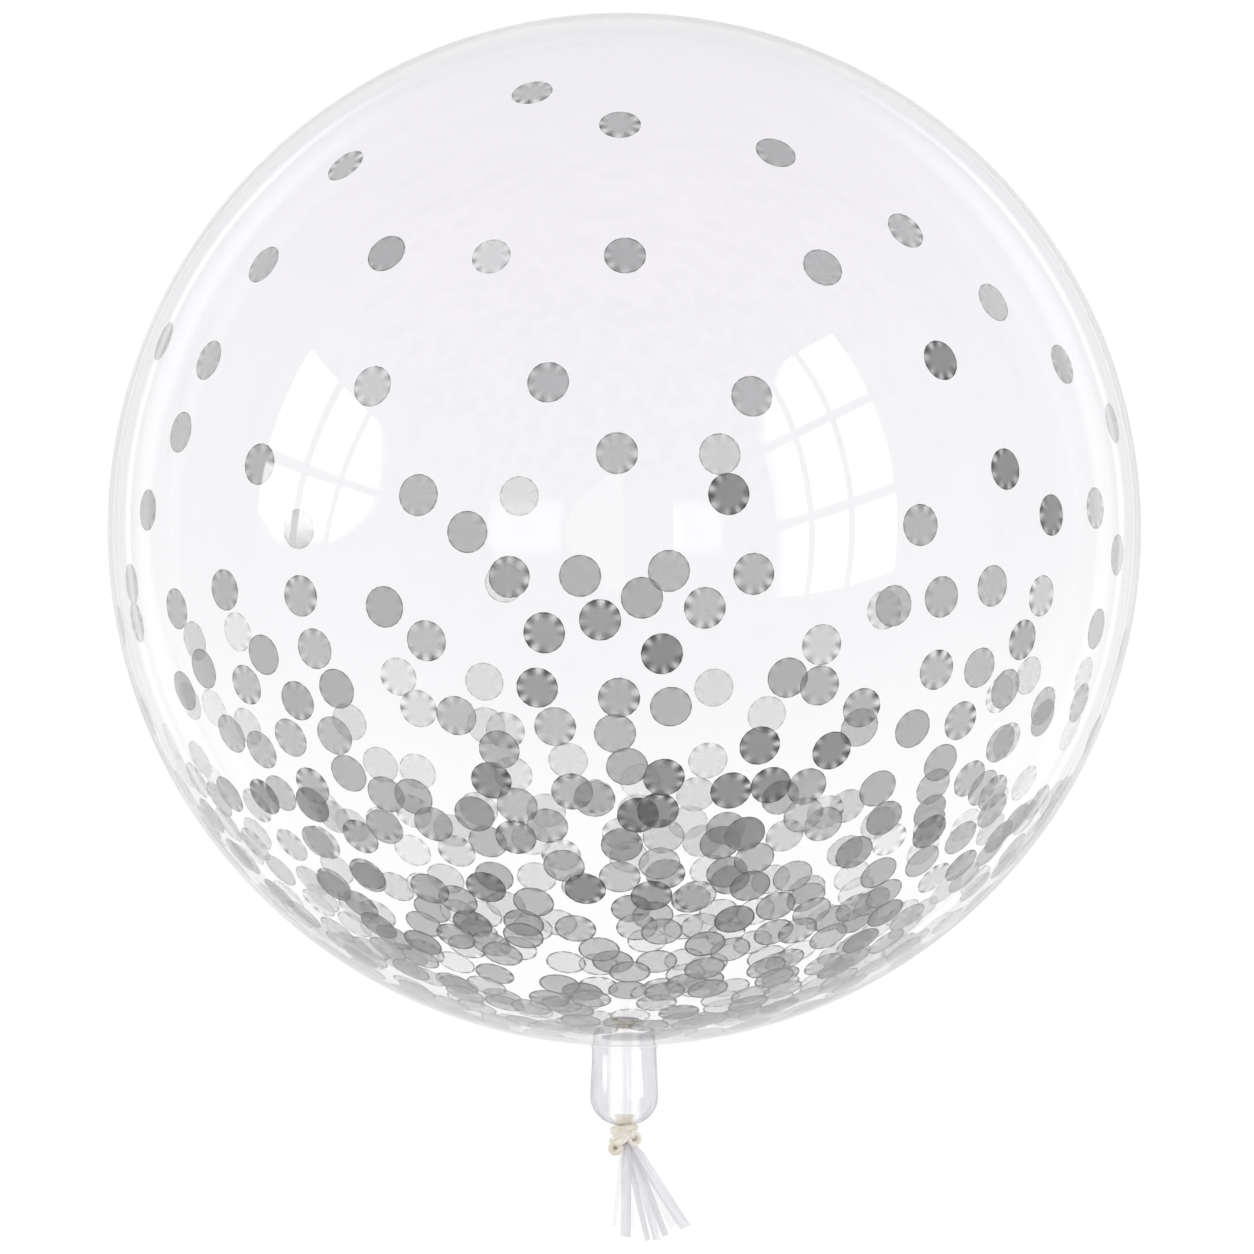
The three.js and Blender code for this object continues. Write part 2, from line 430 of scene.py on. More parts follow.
board, u, v = glowing_panel(
    "window_left", Vector((-0.983, 0.1635, 0.441)), Vector((-0.086, -0.005, 0.212)),
    Vector((-0.145, -0.234, -0.017)), 4, 2,
)
column_place, row_place = u * 4.0, v * 2.0
two_bars = away_from_bars(board, column_place.maths("MINIMUM", 2.5), 0.13)
panes = two_bars * away_from_bars(board, row_place, 0.09)
from_bulge = row_place - 1.15
curtain = board.step(column_place + from_bulge * from_bulge * 0.8, 2.6, 3.7, 1.0, 0.0)
corners = board.step(column_place, 2.2, 3.4) * 0.3 + board.step(column_place, 0.0, 0.7, 0.35, 0.0)
sill = board.step(row_place + corners, 1.55, 2.0, 1.0, 0.0)
shine(board, panes, curtain * sill, PANE_LIGHT)

for name, middle, column in (
    ("soft_light_left", Vector((-0.37, 0.0, 0.93)), Vector((0.3, 0.0, 0.115))),
    ("soft_light_right", Vector((0.275, 0.0, 0.962)), Vector((0.21, 0.0, -0.055))),
):
    board, u, v = glowing_panel(name, middle, column, Vector((0.0, 0.29, 0.0)), 1, 1)
    feather = board.step(v, 0.0, 0.3) * board.step(v, 0.75, 1.0, 1.0, 0.0) * board.step(u, 0.0, 0.12)
    shine(board, feather, feather * board.step(u, 0.86, 1.0, 1.0, 0.0), 3.0)

# %% [markdown]
# ## The film: a ball
#
# The film is one continuous skin: ball, neck and the gathered throat under the knot. It starts as a UV
# sphere whose poles lie on the Y axis, so that its rings run round the neck. A cut takes off the cap where
# the neck starts, and the open edge left there is what the neck grows from. A second cut flattens the
# ball where it rests on the floor.

# %% Ball with its neck opening and flat spot
fillet_across = NECK_RADIUS + FILLET
fillet_along = math.sqrt((BALL_RADIUS + FILLET) ** 2 - fillet_across**2)
join_angle = math.atan2(fillet_across, fillet_along)
JOIN_ALONG = BALL_RADIUS * math.cos(join_angle)
TINY = 0.02 * MM

deselect_all()
bpy.ops.mesh.primitive_uv_sphere_add(
    segments=160, ring_count=100, radius=BALL_RADIUS, location=CENTRE, rotation=(math.pi / 2, 0, 0)
)
film = named("bubble_film")
bpy.ops.object.transform_apply(location=True, rotation=True, scale=True)
edit(film)
bpy.ops.mesh.select_all(action="SELECT")
bpy.ops.mesh.bisect(plane_co=(0, -JOIN_ALONG, CENTRE.z), plane_no=(0, -1, 0), clear_outer=True)
bpy.ops.mesh.select_all(action="SELECT")
bpy.ops.mesh.bisect(plane_co=(0, 0, 0), plane_no=(0, 0, -1), clear_outer=True, use_fill=True)
choose("FACE", lambda face: face.calc_center_median().z < TINY and face.normal.z < -0.99)
bpy.ops.mesh.inset(thickness=1 * MM)
print("ball vertices:", len(bmesh.from_edit_mesh(film.data).verts))

# %% [markdown]
# ## The film: the neck
#
# The neck is made as a glass blower pulls a tube: the open edge is extruded ring by ring, and each new
# ring is resized to the neck's width there. It leaves the ball in a small round, swells slightly and
# closes in a round end on the tie. Film that is pulled together can't shrink, so it folds: every few
# degrees the ring is pushed inwards a little, more at each ring towards the tie, which gives the pleats.

# %% Neck, pleats and throat
PLEATS = 11
PLEAT_LEVELS = (-0.5, 0.1, 0.7)


def ring_is_at(along):
    """A test for the vertices of the ring at this place along the neck."""
    return lambda corner: abs(corner.co.y + along) < TINY


def pleat(along, depth):
    """Push a ring inwards in waves round the neck."""
    for level in PLEAT_LEVELS:
        def in_fold(corner):
            angle = math.atan2(corner.co.z - CENTRE.z, corner.co.x)
            wave = math.cos(PLEATS * angle + 1.6 * math.sin(2 * angle + 0.7))
            return ring_is_at(along)(corner) and wave > level
        choose("VERT", in_fold)
        share = 1 - depth / len(PLEAT_LEVELS)
        bpy.ops.transform.resize(value=(share, 1, share), center_override=(0, -along, CENTRE.z))


rings = []
for i in range(1, 5):
    turn = math.pi / 2 + join_angle + (math.pi / 2 - join_angle) * i / 4
    rings.append((fillet_along - FILLET * math.sin(turn), fillet_across + FILLET * math.cos(turn), 0.0))
for i in range(1, 11):
    swell = math.sin(math.pi / 2 * i / 10) ** 2
    radius = NECK_RADIUS + (BELLY_RADIUS - NECK_RADIUS) * swell
    rings.append((fillet_along + (BELLY_ALONG - fillet_along) * i / 10, radius, 0.001))
closing_end = math.acos(THROAT_RADIUS / BELLY_RADIUS)
for i in range(1, 15):
    turn = closing_end * i / 14
    along = BELLY_ALONG + (TIE_ALONG - BELLY_ALONG) * math.sin(turn) / math.sin(closing_end)
    rings.append((along, BELLY_RADIUS * math.cos(turn), 0.007))
rings.append((TIE_ALONG + 2 * MM, THROAT_RADIUS, 0.0))
rings.append((THROAT_END, THROAT_RADIUS, 0.0))

last_along, last_radius = JOIN_ALONG, BALL_RADIUS * math.sin(join_angle)
for along, radius, fold in rings:
    choose("VERT", ring_is_at(last_along))
    bpy.ops.mesh.extrude_region_move(TRANSFORM_OT_translate={"value": (0, last_along - along, 0)})
    share = radius / last_radius
    bpy.ops.transform.resize(value=(share, 1, share), center_override=(0, -along, CENTRE.z))
    if fold:
        pleat(along, fold)
    last_along, last_radius = along, radius
choose("VERT", ring_is_at(THROAT_END))
bpy.ops.mesh.edge_face_add()
bpy.ops.mesh.select_all(action="SELECT")
bpy.ops.mesh.remove_doubles(threshold=0.0005 * MM)
bpy.ops.mesh.normals_make_consistent(inside=False)
leave_edit()
print("film skin faces:", len(film.data.polygons))

# %% [markdown]
# ## The film: its wall
#
# So far the skin has no thickness. Light bends at both faces of a clear wall, so it needs both: Solidify
# grows the inner face, and leaves the outside at its size. Real film is thinner still, but at this scale
# the eye can't tell, while a wall that is too thin would make the two faces flicker into each other.

# %% Wall
FILM_WALL = 0.12 * MM

modified(film, "SOLIDIFY", thickness=FILM_WALL, offset=-1.0)
pick(film)
bpy.ops.object.shade_smooth_by_angle(angle=math.radians(40))
print("film triangles:", sum(len(face.vertices) - 2 for face in film.data.polygons))

# %% [markdown]
# ## The film's finish
#
# The film is clear and glossy, so it is a plain glass shader: full transmission, almost no roughness. Two
# things vary. Its tint is a faint lavender grey, and painted shade on top of it makes that tint deepest at
# the crown and fade to nearly none towards the neck. In the neck, grey bands down its sides and its middle
# are painted shade, with clear stretches between them where the neck shows its highlights. Stretched film is
# also not quite even: long soft waves and fine drawn lines, which run to the neck, unsettle the reflections
# and break up the neck's painted bands. All of it follows the object's own coordinates, so it stays put from
# every side.

# %% Clear film
clear_film, board = new_finish("clear_film")
spot = board.place()
x, y, z = board.parts(spot)
side = x / BALL_RADIUS
height_share = y / (2 * BALL_RADIUS) + 0.5 - side * side * 0.14
# The faint lavender tint, with painted shade: deeper towards the crown, paler at the sides and towards the
# neck.
film_tint_and_painted_shade = board.ramp(
    height_share,
    [(0.0, (0.992, 0.99, 0.994)), (0.2, (0.982, 0.979, 0.985)), (0.37, (0.948, 0.944, 0.954))]
    + [(0.5, (0.942, 0.937, 0.948)), (0.64, (0.939, 0.93, 0.945)), (0.8, (0.925, 0.915, 0.93))]
    + [(1.0, (0.908, 0.898, 0.912))],
)
turned = (z - CENTRE.z).maths("ARCTAN2", x)
drawn = board.node("ShaderNodeCombineXYZ", sockets={0: turned * 6.0, 1: y * 9.0, 2: 0.0})
drawn_lines = board.noise(drawn, 3.0, detail=2.0, roughness=0.6)
in_neck = board.step(y * -1.0, BALL_RADIUS - 1 * MM, BALL_RADIUS + 1 * MM)
neck_across = x / (2 * NECK_RADIUS) + 0.5
# Painted shade in the neck: grey bands down its sides and middle, left clear where its highlights fall,
# broken up by the drawn lines.
neck_painted_shade = board.ramp(
    neck_across,
    [(0.0, 0.9), (0.24, 1.0), (0.31, 0.0), (0.44, 0.0), (0.5, 0.55), (0.59, 0.55), (0.64, 0.0)]
    + [(0.7, 0.0), (0.76, 1.0), (1.0, 0.9)],
)
neck_shade_streaks = board.step(drawn_lines, 0.38, 0.6, 0.68, 1.0)
neck_tint_and_painted_shade = board.mixed(neck_painted_shade * neck_shade_streaks, (0.99, 0.985, 0.992), (0.845, 0.836, 0.857))
waves = board.noise(spot, 7.0, detail=1.0)
dents = waves * 0.9 + drawn_lines * (0.02 + in_neck * 0.5)
board.finish(
    Base_Color=board.mixed(in_neck, film_tint_and_painted_shade, neck_tint_and_painted_shade),
    Roughness=0.01,
    IOR=1.45,
    Transmission_Weight=1.0,
    Normal=board.bump(dents, 0.6 * MM, 0.35),
)
dress(film, clear_film)
film.visible_shadow = False
film.visible_diffuse = False
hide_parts("film_envelope")

# %% [markdown]
# ## Confetti: one disc
#
# The confetti is punched from silver foil, 20 mm across. Punching stretches the rim, so many discs have a
# gently rippled edge, which in light shows as light and dark spots all round; the finish paints those spots
# on as well. Hundreds of them are needed, so the one model stays light: a circle with an inset, every second
# point of its rim raised a little, and a thin wall. A disc's own flat map goes on it here, centred on the
# disc, for its finish to follow.

# %% One foil disc
DISC_RADIUS = 10 * MM
DISC_SIDES = 18
FOIL_WALL = 0.05 * MM
RIPPLE = 0.07 * MM

deselect_all()
bpy.ops.mesh.primitive_circle_add(vertices=DISC_SIDES, radius=DISC_RADIUS, fill_type="NGON")
disc = named("foil_disc")
edit(disc)
bpy.ops.mesh.select_all(action="SELECT")
bpy.ops.mesh.inset(thickness=0.3 * DISC_RADIUS)


def on_raised_ripple(corner):
    """Every second point of the rim."""
    angle = math.atan2(corner.co.y, corner.co.x)
    number = round(angle / (2 * math.pi) * DISC_SIDES)
    return corner.co.xy.length > 0.9 * DISC_RADIUS and number % 2 == 0


choose("VERT", on_raised_ripple)
bpy.ops.transform.translate(value=(0, 0, RIPPLE))
bpy.ops.mesh.select_all(action="SELECT")
bpy.ops.mesh.normals_make_consistent(inside=False)
leave_edit()
modified(disc, "SOLIDIFY", thickness=FOIL_WALL, offset=0.0)
pick(disc)
bpy.ops.object.shade_smooth_by_angle(angle=math.radians(40))
flat_map = disc.data.uv_layers.new(name="disc_map")
for loop in disc.data.loops:
    corner = disc.data.vertices[loop.vertex_index].co
    flat_map.data[loop.index].uv = (corner.x / DISC_RADIUS / 2 + 0.5, corner.y / DISC_RADIUS / 2 + 0.5)
print("faces of a disc:", len(disc.data.polygons))

# %% [markdown]
# ## Confetti: where the discs are
#
# The discs cling inside the wall. In the upper half there are few, and each is seen as itself, so those
# are placed as they lie: by the spot in the photograph, followed along the camera's line of sight to the
# near wall or through to the far one. Towards the neck and at the sides they crowd together and no single
# disc counts, so there they are scattered by a seeded draw that grows denser from band to band.

# %% Places of the discs that are seen as themselves
PHOTO_SCALE = 0.484 * MM
BALL_CENTRE_ACROSS, BALL_CENTRE_DOWN = 624.3, 529.5

NEAR_DISCS = [
    (532, 92), (620, 124), (776, 152), (345, 165), (386, 253), (625, 255), (823, 267), (906, 230),
    (263, 264), (163, 341), (208, 360), (180, 432), (548, 382), (752, 396), (1063, 364), (1113, 423),
    (259, 464), (418, 495), (617, 453), (147, 510), (467, 532), (921, 525), (1118, 555), (580, 576),
    (669, 571), (754, 574), (131, 584), (176, 609), (224, 590), (300, 596), (384, 607), (642, 598),
    (705, 608), (894, 606), (942, 597), (993, 586), (1097, 629), (509, 577), (426, 641), (263, 655),
    (314, 649), (203, 669), (246, 685), (336, 689), (184, 691), (297, 701), (456, 716), (619, 698),
    (671, 707), (788, 678), (820, 686), (1023, 640), (937, 670), (980, 668), (1006, 689), (290, 738),
    (334, 736), (231, 734), (261, 750), (555, 727), (615, 734), (627, 767), (499, 750), (572, 792),
    (862, 708), (860, 728), (913, 729), (961, 721), (941, 763), (1001, 744), (348, 774), (312, 786),
    (413, 797), (517, 806), (878, 789), (934, 787), (970, 779),
]
# Painted shade and painted light: the dark discs are made darker and the light ones paler, for foil that
# mirrors darker or brighter parts of the room.
DARK_DISCS = [
    (941, 360), (729, 494), (1006, 469), (1052, 515), (662, 654), (664, 778), (491, 781), (760, 746),
    (832, 751), (264, 797), (731, 791), (771, 786), (658, 811), (638, 816),
]
LIGHT_DISCS = [(994, 302), (372, 386), (720, 454), (1096, 508), (1042, 596), (822, 645)]
RIPPLED_DISCS = [(600, 620), (544, 633), (537, 688)]
FAR_DISCS = [
    (491, 256), (519, 496), (298, 529), (504, 583), (885, 610), (398, 677), (418, 709), (484, 682),
    (349, 722), (380, 765), (417, 772), (486, 726), (505, 731), (714, 688), (767, 715), (568, 761),
    (708, 761), (383, 824), (546, 811), (696, 795),
]


def on_wall(spot, near):
    """The unit direction from the ball's centre to where the line of sight meets the near or far wall."""
    seen = Vector((spot[0] - BALL_CENTRE_ACROSS, BALL_CENTRE_DOWN - spot[1], 0)) * PHOTO_SCALE
    start = eye - CENTRE
    line = (seen - start).normalized()
    middle = -start.dot(line)
    reach = math.sqrt(max(0.0, BALL_RADIUS**2 - (start.length_squared - middle**2)))
    return (start + line * (middle - reach if near else middle + reach)).normalized()


# A disc is a direction, its tone and how rippled its rim is. The foil on the lower wall is painted paler:
# painted light, for the light of the white floor right under it.
LOWER_WALL_PAINTED_LIGHT = 2.0
PALEST_TONE = 2.7
chance = random.Random(11)
discs = []


def add_disc(direction, tone_and_light, ripple=None):
    if ripple is None:
        ripple = chance.choice((0.1, 0.15, 0.2, 0.3, 0.4, 0.5, 0.7, 0.9))
    if direction.z < 0:
        tone_and_light *= LOWER_WALL_PAINTED_LIGHT
    discs.append((direction, min(tone_and_light * chance.uniform(0.8, 1.2), PALEST_TONE), ripple))


for spots, near, tone_and_light, ripple in (
    (NEAR_DISCS, True, 1.0, None),
    (DARK_DISCS, True, 0.2, 0.9),
    (LIGHT_DISCS, True, 1.6, None),
    (RIPPLED_DISCS, True, 0.6, 1.0),
    (FAR_DISCS, False, 1.0, None),
):
    for spot in spots:
        add_disc(on_wall(spot, near), tone_and_light, ripple)
print("discs placed by eye:", len(discs))

# %% [markdown]
# On a sphere, slices of equal height have equal area all the way round. So each band gets its number of
# discs by a draw of the place along Y and of the angle round the Y axis. Each disc is the best of a few
# draws, the one that is farthest from its neighbours, because real confetti spreads as it settles.

# %% Scatter towards the neck
# Each band: from and to in mm along Y, half the width in mm whose discs are listed one by one, and the
# number of discs.
BANDS = [
    (-38, -80, 190, 10), (-80, -118, 185, 24), (-118, -140, 0, 44), (-140, -176, 0, 108),
    (-176, -222, 0, 170), (-222, -247, 0, 112),
]
TRIES = 3
KEEP_FROM_REST = 43 * MM

for start, end, placed_width, count in BANDS:
    for _ in range(count):
        best, widest = None, -1.0
        for _ in range(TRIES):
            height = chance.uniform(start, end) * MM
            angle = chance.uniform(0, 2 * math.pi)
            reach = math.sqrt(BALL_RADIUS**2 - height**2)
            spot = Vector((reach * math.cos(angle), height, reach * math.sin(angle)))
            on_rest_spot = spot.z < 0 and spot.xy.length < KEEP_FROM_REST
            if on_rest_spot or abs(spot.x) < placed_width * MM:
                continue
            gap = min((spot / BALL_RADIUS - other[0]).length for other in discs)
            if gap > widest:
                best, widest = spot / BALL_RADIUS, gap
        if best:
            add_disc(best, chance.choice((0.3, 0.7, 0.9, 1.0, 1.1, 1.4)))
print("discs in all:", len(discs))

# %% [markdown]
# Discs overlap, and two sheets can't be in the same place. Each disc takes the outermost layer that none
# of the discs it overlaps has taken, and the layers are a quarter of a millimetre apart.

# %% Layers
LAYER_STEP = 0.25 * MM
REACH = (2 * DISC_RADIUS + 0.5 * MM) / BALL_RADIUS

layers = []
for i, (direction, _, _) in enumerate(discs):
    taken = {layers[j] for j in range(i) if (discs[j][0] - direction).length < REACH}
    layers.append(next(layer for layer in range(99) if layer not in taken))
print("deepest layer:", max(layers))

# %% [markdown]
# ## Confetti: the copies
#
# Every copy gets its own mesh, which is wrapped on to its layer of the wall: a point of the flat disc goes
# in that direction from the disc's own place, at the layer's distance from the centre. Each copy carries
# its tone with its painted light, its ripple and which side faces out in a colour attribute, so that one
# finish serves them all.
# The copies are joined into a few pieces by where they are.

# %% Wrap, tone and join the copies
WALL_GAP = 0.2 * MM

flat_points = np.array([corner.co for corner in disc.data.vertices])
faces_out = np.array([face.normal.z > 0 for face in disc.data.polygons for _ in face.vertices])


def wrapped(direction, layer, ripple, spin):
    """The points of the flat disc, laid against the wall."""
    radius = BALL_RADIUS - FILM_WALL - WALL_GAP - layer * LAYER_STEP
    side_axis = direction.cross(Vector((0, 0.31, 0.95))).normalized()
    other_axis = direction.cross(side_axis)
    first = math.cos(spin) * np.array(side_axis) + math.sin(spin) * np.array(other_axis)
    second = np.cross(np.array(direction), first)
    lift = flat_points[:, 2:] * (0.35 + 0.65 * ripple)
    away = np.array(direction) * radius + flat_points[:, :1] * first + flat_points[:, 1:2] * second
    away /= np.linalg.norm(away, axis=1)[:, None]
    return np.array(CENTRE) + away * (radius + lift)


def zone_of(direction):
    """The name of the joined piece that a disc at this place belongs to."""
    wall = "near" if direction.z > 0 else "far"
    part = "upper" if direction.y > -0.32 else "middle" if direction.y > -0.7 else "neck"
    return "confetti_%s_%s" % (part, wall)


zones = {}
for (direction, tone_and_light, ripple), layer in zip(discs, layers):
    copy = disc.copy()
    copy.data = disc.data.copy()
    bpy.context.scene.collection.objects.link(copy)
    points = wrapped(direction, layer, ripple, chance.uniform(0, math.pi))
    copy.data.vertices.foreach_set("co", points.ravel())
    tones = copy.data.attributes.new("foil_tone", "FLOAT_COLOR", "CORNER")
    values = np.tile((tone_and_light, ripple, chance.uniform(0, 1), 1.0), (len(faces_out), 1))
    values[:, 3] = faces_out
    tones.data.foreach_set("color", values.ravel())
    zones.setdefault(zone_of(direction), []).append(copy)

confetti = []
for name, copies in sorted(zones.items()):
    pick(*copies)
    bpy.ops.object.join()
    piece = named(name)
    confetti.append(piece)
    print(name, len(copies), "discs,", len(piece.data.polygons), "faces")
bpy.data.objects.remove(disc)

# %% [markdown]
# ## The foil's finish
#
# The foil is a metal layer so thin that nearly half of the light comes through it, in a frosted plastic:
# half metal, with a soft sheen. Its outer side is painted dark and its inner side bright: painted shade and
# a painted reflection, for the darker and the brighter halves of the room that the two sides face. Where
# discs overlap, the stack therefore looks darker than one disc. A line of sight crosses both faces of a
# disc, so each of them covers only a part of what is behind it, the outer one more than the inner one. From
# the disc's own map come the distance from its centre and the angle round it. Eight waves round the rim are
# the
# ripples: a bump, and light and dark spots painted into the colour, painted glints and painted shade, as
# strong as the disc's attribute says. The disc's tone, from its attribute, holds painted light as well. The
# cut edge is a thin darker line, stronger towards the neck, where the crowded discs push each other's rims
# up.

# %% Silver foil
# The outer side's grey is painted shade and the inner side's is a painted reflection; both sides are the
# same silver foil.
OUTER_SHADED_GREY = 0.05
INNER_LIT_GREY = 0.85
INNER_COVER = 0.25

silver_foil, board = new_finish("silver_foil")
u, v, _ = board.parts(board.place("UV"))
u, v = u * 2.0 - 1.0, v * 2.0 - 1.0
reach = (u * u + v * v).maths("SQRT")
angle = v.maths("ARCTAN2", u)
# The disc's attribute: its tone, which holds painted light on the lower wall and on the dark and light
# discs, its ripple, a phase and which side faces out.
tone_paint = board.node("ShaderNodeAttribute", {"attribute_name": "foil_tone"})
tone_and_light, ripple, phase = board.parts(tone_paint)
faces_outward = Signal(board, tone_paint.socket.node.outputs["Alpha"])
turn = phase * 6.28
uneven_turn = (angle * 2.0 + turn).maths("SINE")
# Painted glints and painted shade: light and dark spots round the rippled rim, as foil ripples show them in
# light.
spots = (angle * 8.0 + uneven_turn * 0.9 + turn).maths("SINE")
one_sided = uneven_turn * 0.35 + (angle + turn).maths("COSINE") * 0.3 + 0.65
rim = board.step(reach, 0.5, 0.93)
_, toward_neck, _ = board.parts(board.place())
crowded = board.step(toward_neck, -130 * MM, -240 * MM)
cut_edge = board.step(reach + crowded * 0.05, 0.92, 0.96)
ticks = board.step(spots, 0.0, 0.9, 1.0, 0.0)
edge_dark = cut_edge * (ticks * 0.4 + crowded * 0.5 + 0.3)
waves = spots * one_sided * rim * ripple
# Painted shade and painted reflection: the outer side dark, the inner side bright. The next line adds the
# painted ripple spots and the tone's painted light to the foil's own grey.
painted_side_light = board.step(faces_outward, 0.0, 1.0, INNER_LIT_GREY, OUTER_SHADED_GREY)
base_grey_and_painted_light = tone_and_light.maths("MINIMUM", 1.1) * painted_side_light * (waves * 0.9 + 1.0) * (1.2 - edge_dark)
cover = INNER_COVER + faces_outward * (0.745 - INNER_COVER - tone_and_light * 0.22)
board.finish(
    Base_Color=board.mixed(base_grey_and_painted_light, (0.0, 0.0, 0.0), (1.0, 0.992, 0.985)),
    Metallic=0.5,
    Roughness=0.42,
    Alpha=cover + edge_dark * 0.35 - waves * 0.28,
    Normal=board.bump(waves, 0.2 * MM, 0.25),
)
for piece in confetti:
    dress(piece, silver_foil)
    piece.visible_shadow = False
    piece.visible_diffuse = False
    piece.visible_glossy = False

# %% [markdown]
# ## The rubber collar inside the neck
#
# Just above the tie a small cream cuff shows through the film: the end of the rubber filling valve, which
# flares like a trumpet. It is an open cone, widened at its rim by one more extruded ring, and Solidify
# gives it the thickness of the rubber.

# %% Collar
COLLAR_START = 283.9 * MM
COLLAR_END = 290.5 * MM
COLLAR_WIDE = 4.6 * MM
COLLAR_NARROW = 2.2 * MM

deselect_all()
bpy.ops.mesh.primitive_cone_add(
    vertices=40, radius1=COLLAR_NARROW, radius2=COLLAR_WIDE, depth=COLLAR_END - COLLAR_START,
    end_fill_type="NOTHING", location=(0, -(COLLAR_START + COLLAR_END) / 2, CENTRE.z),
    rotation=(-math.pi / 2, 0, 0),
)
collar = named("valve_collar")
bpy.ops.object.transform_apply(location=True, rotation=True, scale=True)
edit(collar)
choose("VERT", lambda corner: corner.co.y > -COLLAR_START - TINY)
bpy.ops.mesh.extrude_region_move(TRANSFORM_OT_translate={"value": (0, 0.5 * MM, 0)})
bpy.ops.transform.resize(value=(1.09, 1, 1.09), center_override=(0, -COLLAR_START, CENTRE.z))
bpy.ops.mesh.select_all(action="SELECT")
bpy.ops.mesh.normals_make_consistent(inside=False)
leave_edit()
modified(collar, "SOLIDIFY", thickness=0.5 * MM, offset=-1.0)
modified(collar, "SUBSURF", levels=2, render_levels=2)
pick(collar)
bpy.ops.object.shade_smooth()
print("collar faces:", len(collar.data.polygons))

# %% [markdown]
# ## The rubber band
#
# A band wound round the gathered film makes a small untidy knot: two turns, an eye of band that stands out
# on each side, and strands that cross between. Each turn and eye is a torus, tipped a little. Each strand
# is a round cord along a smooth curve, turned into a mesh. Rubber under tension presses into itself, so
# all of them are joined and remeshed into one skin, which rounds the grooves between the strands.

# %% Turns, eyes and strands of the band
BAND_RADIUS = 1.7 * MM
LOOP_RADIUS = 1.4 * MM
WRAP_RADIUS = THROAT_RADIUS + 0.3 * MM + BAND_RADIUS
KNOT_RISE = 0.6 * MM


def knot_point(turn, down, out=1.0):
    """A point round the throat: degrees from +X towards +Z, band widths past the tie, wrap radii out."""
    angle = math.radians(turn)
    along = TIE_ALONG - KNOT_RISE + down * 2 * BAND_RADIUS
    return Vector((0, -along, CENTRE.z)) + WRAP_RADIUS * out * Vector((math.cos(angle), 0, math.sin(angle)))


def band_turn(down, tip):
    """A turn of the band round the throat."""
    deselect_all()
    bpy.ops.mesh.primitive_torus_add(
        location=knot_point(0, down, 0), rotation=(math.pi / 2, 0, math.radians(tip)),
        major_radius=WRAP_RADIUS, minor_radius=BAND_RADIUS, major_segments=56, minor_segments=20,
    )
    return bpy.context.object


def band_eye(turn, down, out, ring_radius, thickness, lean):
    """A small eye of the band that lies against the knot."""
    deselect_all()
    bpy.ops.mesh.primitive_torus_add(
        location=knot_point(turn, down, out), rotation=(0, math.radians(lean), 0),
        major_radius=ring_radius, minor_radius=thickness, major_segments=40, minor_segments=20,
    )
    return bpy.context.object


def band_strand(points):
    """A strand of the band along a smooth curve, as a mesh with closed ends."""
    deselect_all()
    bpy.ops.curve.primitive_bezier_curve_add()
    strand = bpy.context.object
    spline = strand.data.splines[0]
    spline.bezier_points.add(len(points) - 2)
    for corner, point in zip(spline.bezier_points, points):
        corner.co = point - strand.location
        corner.handle_left_type = corner.handle_right_type = "AUTO"
    strand.data.bevel_depth = BAND_RADIUS
    strand.data.bevel_resolution = 6
    strand.data.use_fill_caps = True
    bpy.ops.object.convert(target="MESH")
    return bpy.context.object


EYE_RING = 2.5 * MM
EYE_RADIUS = 1.15 * MM
LOOP_RING = 2.35 * MM
# Each strand: turn in degrees, band widths past the tie and wrap radii out of its points.
STRANDS = [
    [(60, 1.25, 1.0), (80, 1.8, 1.2), (104, 2.4, 1.24), (136, 2.75, 1.0)],
    [(108, 1.5, 0.9), (150, 2.15, 1.16), (200, 2.4, 1.0), (262, 2.2, 1.0)],
    [(150, 3.9, 1.0), (190, 3.4, 1.0), (236, 2.9, 1.0), (290, 2.6, 1.0)],
    [(250, 2.2, 1.0), (300, 2.6, 1.0), (350, 2.6, 1.0), (36, 2.7, 1.0)],
]
parts = [
    band_turn(0.6, 6),
    band_turn(1.4, -12),
    band_eye(40, 2.0, 1.22, EYE_RING, EYE_RADIUS, 14),
    band_eye(140, 3.35, 1.05, LOOP_RING, LOOP_RADIUS, -16),
]
parts += [band_strand([knot_point(*place) for place in strand]) for strand in STRANDS]
pick(*parts)
bpy.ops.object.join()
knot = named("rubber_band")
bpy.ops.object.transform_apply(location=True, rotation=True, scale=True)
modified(knot, "REMESH", mode="VOXEL", voxel_size=0.16 * MM)
modified(knot, "SMOOTH", factor=0.4, iterations=1)
pick(knot)
bpy.ops.object.shade_smooth()
print("band faces:", len(knot.data.polygons))

# %% [markdown]
# ## The rubber's finish
#
# Natural rubber is cream, a little translucent, with a soft gloss. Its colour is uneven: warmer and darker
# where it was stretched thin or has aged, paler where it is dusted with powder. A fine grain breaks up the
# gloss.

# %% Cream rubber
cream_rubber, board = new_finish("cream_rubber")
spot = board.place()
cloudy = board.noise(spot, 160.0, detail=3.0)
grain = board.noise(spot, 2600.0, detail=2.0)
warmth = board.step(cloudy, 0.35, 0.68)
board.finish(
    Base_Color=board.mixed(warmth, (0.74, 0.715, 0.65), (0.63, 0.59, 0.49)),
    Roughness=cloudy * 0.2 + 0.2,
    Subsurface_Weight=0.1,
    Subsurface_Radius=(0.003, 0.002, 0.001),
    Normal=board.bump(grain + cloudy * 3.0, 0.06 * MM, 0.6),
)
for piece in (collar, knot):
    dress(piece, cream_rubber)
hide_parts("rubber_band_knot")

